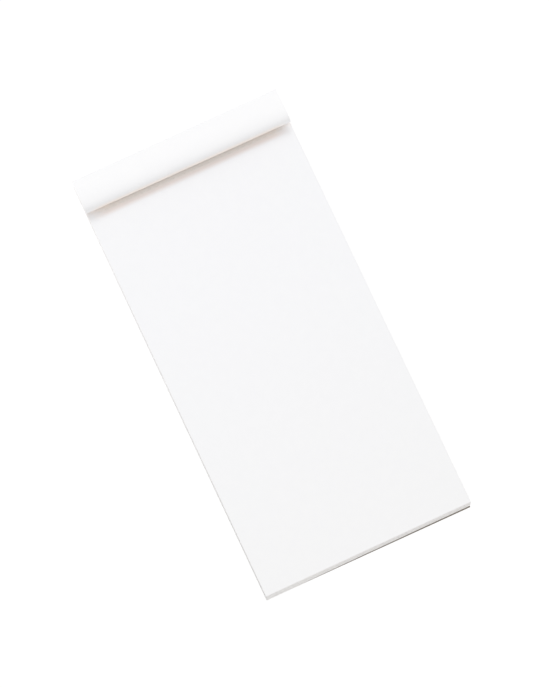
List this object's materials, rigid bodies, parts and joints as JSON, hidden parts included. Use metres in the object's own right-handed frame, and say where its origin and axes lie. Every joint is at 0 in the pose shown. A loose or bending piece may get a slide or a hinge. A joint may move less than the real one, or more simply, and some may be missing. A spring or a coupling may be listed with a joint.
{
  "type": "notepad",
  "caption": "Long narrow notepad: white sheets glued at the head into a kraft-board cover that folds over the bound end as an arched flap.",
  "frame": {"origin": "middle of the outer face of the back cover, the face that the pad lies on", "axes": "+Y along the pad to its bound end, +X across it to the right as it is written on, +Z out of the top sheet"},
  "size_m": [0.085, 0.1746, 0.0138],
  "materials": {
    "white_paper": "matt",
    "white_facing": "matt, smoother than the sheets",
    "kraft_board": "matt, fibrous",
    "glue": "dull, flexible"
  },
  "bodies": {
    "pad": {"cover_back_board": "kraft_board", "cover_back_facing": "white_facing", "cover_spine_board": "kraft_board", "cover_spine_facing": "white_facing", "binding_glue": "glue", "top_sheet_stub": "white_paper", "sheet_02": "white_paper", "sheet_03": "white_paper", "sheet_04": "white_paper", "sheet_05": "white_paper", "sheet_06": "white_paper", "sheet_07": "white_paper", "sheet_08": "white_paper", "sheet_09": "white_paper", "sheet_10": "white_paper", "sheet_11": "white_paper", "sheet_12": "white_paper", "sheet_13": "white_paper", "sheet_14": "white_paper", "sheet_15": "white_paper", "sheet_16": "white_paper", "sheet_17": "white_paper", "sheet_18": "white_paper", "sheet_19": "white_paper", "sheet_20": "white_paper", "sheet_21": "white_paper", "sheet_22": "white_paper", "sheet_23": "white_paper", "sheet_24": "white_paper", "sheet_25": "white_paper", "sheet_26": "white_paper", "sheet_27": "white_paper", "sheet_28": "white_paper", "sheet_29": "white_paper", "sheet_30": "white_paper", "sheet_31": "white_paper", "sheet_32": "white_paper", "sheet_33": "white_paper", "sheet_34": "white_paper", "sheet_35": "white_paper", "sheet_36": "white_paper", "sheet_37": "white_paper", "sheet_38": "white_paper", "sheet_39": "white_paper", "sheet_40": "white_paper", "sheet_41": "white_paper", "sheet_42": "white_paper", "sheet_43": "white_paper", "sheet_44": "white_paper", "sheet_45": "white_paper", "sheet_46": "white_paper", "sheet_47": "white_paper", "sheet_48": "white_paper", "sheet_49": "white_paper", "sheet_50": "white_paper"},
    "flap": {"cover_flap_board": "kraft_board", "cover_flap_facing": "white_facing"},
    "top_sheet": {"top_sheet_leaf": "white_paper"}
  },
  "joints": [
    {"name": "flap_lift", "type": "hinge", "parent": "pad", "child": "flap", "pos_m": [0, 0.08701, 0.01153], "axis": [-1, 0, 0], "range_deg": [-7, 90], "stiffness_Nm_per_rad": 0.006, "springref_deg": 0.29},
    {"name": "page_turn", "type": "hinge", "parent": "pad", "child": "top_sheet", "pos_m": [0, 0.07271, 0.00835], "axis": [-1, 0, 0], "range_deg": [0, 95]}
  ]
}
